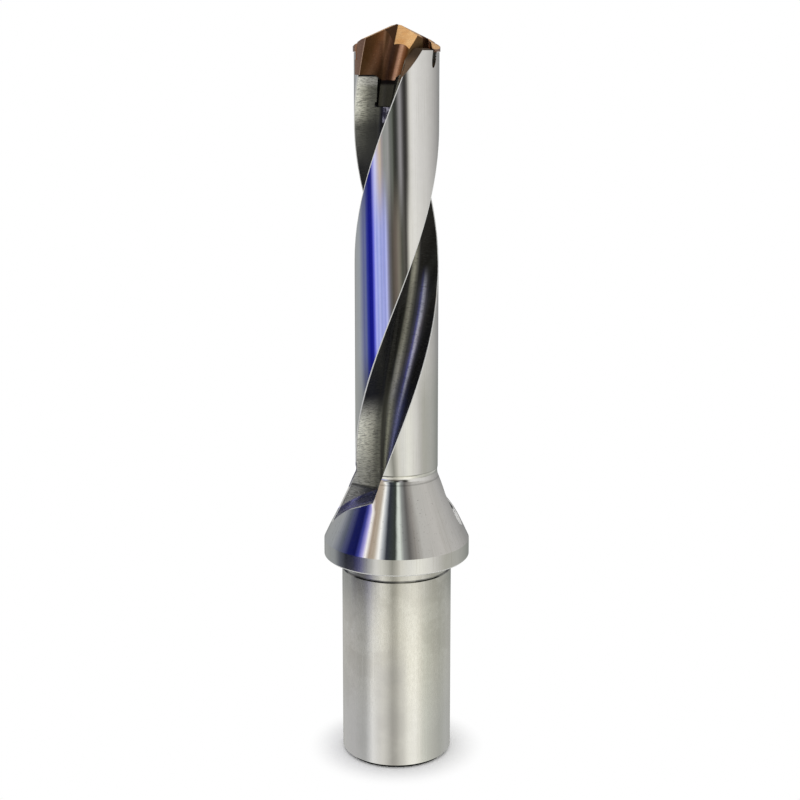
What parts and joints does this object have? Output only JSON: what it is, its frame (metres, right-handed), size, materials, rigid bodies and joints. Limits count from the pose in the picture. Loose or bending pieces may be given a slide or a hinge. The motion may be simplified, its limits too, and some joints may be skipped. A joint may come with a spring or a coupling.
{
  "type": "replaceable head drill",
  "caption": "Twist drill with two helical flutes, a flanged straight shank and an exchangeable bronze-coated carbide cutting head held between two steel arms.",
  "frame": {"origin": "centre of the shank's end face, on the drill's axis", "axes": "+Z along the axis from shank to tip; -Y faces the camera of the picture, with one flute's run-out at the front left; the shank's flat faces the back left, between -X and +Y"},
  "size_m": [0.0424, 0.0424, 0.2132],
  "materials": {
    "body_steel": "satin ground steel",
    "head_carbide": "bronze-coloured coating on cemented carbide"
  },
  "bodies": {
    "root": {"drill_body": "body_steel", "cutting_head": "head_carbide"}
  },
  "joints": []
}
